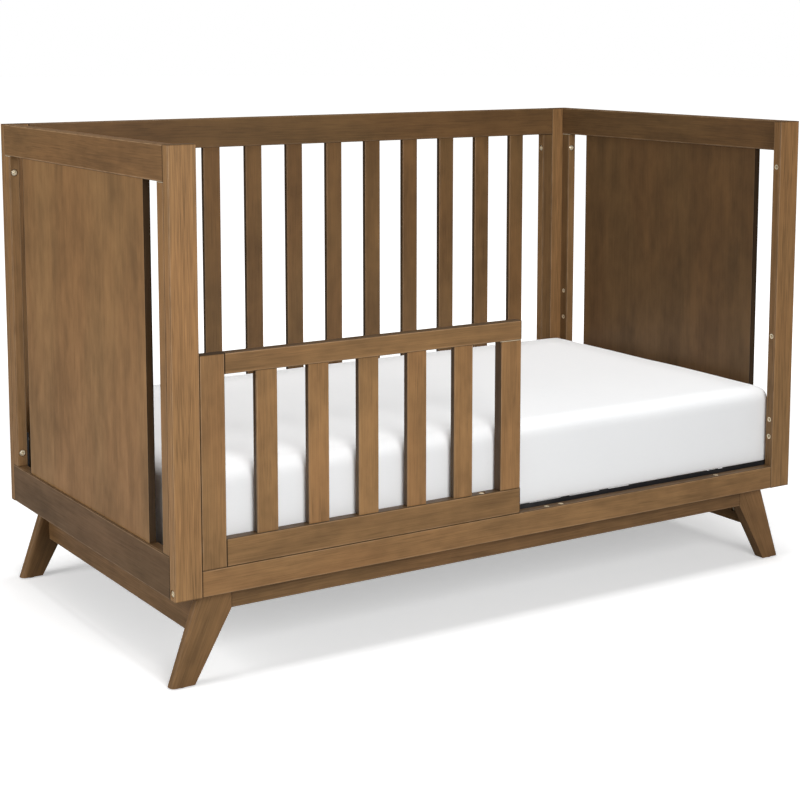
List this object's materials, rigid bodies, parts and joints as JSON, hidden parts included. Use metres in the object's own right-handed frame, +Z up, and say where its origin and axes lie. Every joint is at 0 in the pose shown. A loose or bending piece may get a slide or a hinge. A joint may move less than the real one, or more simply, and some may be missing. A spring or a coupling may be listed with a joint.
{
  "type": "baby crib",
  "caption": "Wooden convertible crib set up as a toddler bed: panelled ends, slatted back, low front with a half-length guard rail, splayed legs, sprung support and sheeted mattress.",
  "frame": {"origin": "centre of the footprint on the floor, under the foot glides", "axes": "+X along the length to the right seen from the open front, +Y from the open front to the slatted back, +Z up"},
  "size_m": [1.372, 0.752, 0.895],
  "materials": {
    "post_wood": "walnut-brown stain, satin lacquer, grain along the post",
    "frame_wood": "walnut-brown stain, satin lacquer, grain along the rail",
    "slat_wood": "walnut-brown stain, satin lacquer, eased edges",
    "panel_veneer": "stained veneer, soft cloudy figure, satin lacquer",
    "base_wood": "walnut-brown stain, satin lacquer",
    "plywood": "bare birch plywood, sanded",
    "support_steel": "black powder coat",
    "fastener_metal": "pale brass-nickel plating, satin",
    "screw_steel": "zinc plated",
    "glide": "moulded nylon",
    "fitted_sheet": "white cotton fitted sheet over a foam mattress"
  },
  "bodies": {
    "root": {"post_front_left": "post_wood", "post_front_right": "post_wood", "post_rear_left": "post_wood", "post_rear_right": "post_wood", "end_left_top_rail": "frame_wood", "end_left_bottom_rail": "frame_wood", "end_left_front_stile": "frame_wood", "end_left_rear_stile": "frame_wood", "end_left_panel": "panel_veneer", "end_right_top_rail": "frame_wood", "end_right_bottom_rail": "frame_wood", "end_right_front_stile": "frame_wood", "end_right_rear_stile": "frame_wood", "end_right_panel": "panel_veneer", "back_top_rail": "frame_wood", "back_bottom_rail": "frame_wood", "back_left_stile": "frame_wood", "back_right_stile": "frame_wood", "back_slats_left": "slat_wood", "back_slats_middle": "slat_wood", "back_slats_right": "slat_wood", "low_front_rail": "frame_wood", "guard_top_rail": "frame_wood", "guard_bottom_rail": "frame_wood", "guard_post_stile": "frame_wood", "guard_free_stile": "frame_wood", "leg_front_left": "base_wood", "leg_front_right": "base_wood", "leg_rear_left": "base_wood", "leg_rear_right": "base_wood", "front_apron": "base_wood", "rear_apron": "base_wood", "left_end_apron": "base_wood", "right_end_apron": "base_wood", "corner_plates": "plywood", "foot_glides": "glide", "support_bolts": "fastener_metal", "frame_bolts": "fastener_metal", "end_bolts": "fastener_metal", "low_rail_bolts": "fastener_metal", "guard_bolts": "fastener_metal", "guard_pins": "fastener_metal", "apron_bolts": "fastener_metal", "barrel_nuts": "fastener_metal", "plate_screws": "screw_steel", "threaded_inserts": "fastener_metal", "guard_slat_1": "slat_wood", "guard_slat_2": "slat_wood", "guard_slat_3": "slat_wood", "guard_slat_4": "slat_wood", "guard_slat_5": "slat_wood"},
    "support": {"support_frame": "support_steel", "support_hangers": "support_steel", "support_wires": "support_steel", "support_springs": "support_steel"},
    "mattress": {"mattress": "fitted_sheet"}
  },
  "joints": [
    {"name": "support_height", "type": "slide", "parent": "root", "child": "support", "axis": [0, 0, 1], "range_m": [0, 0.187]},
    {"name": "mattress_lift", "type": "slide", "parent": "support", "child": "mattress", "axis": [0, 0, 1], "range_m": [0, 0.7]}
  ]
}
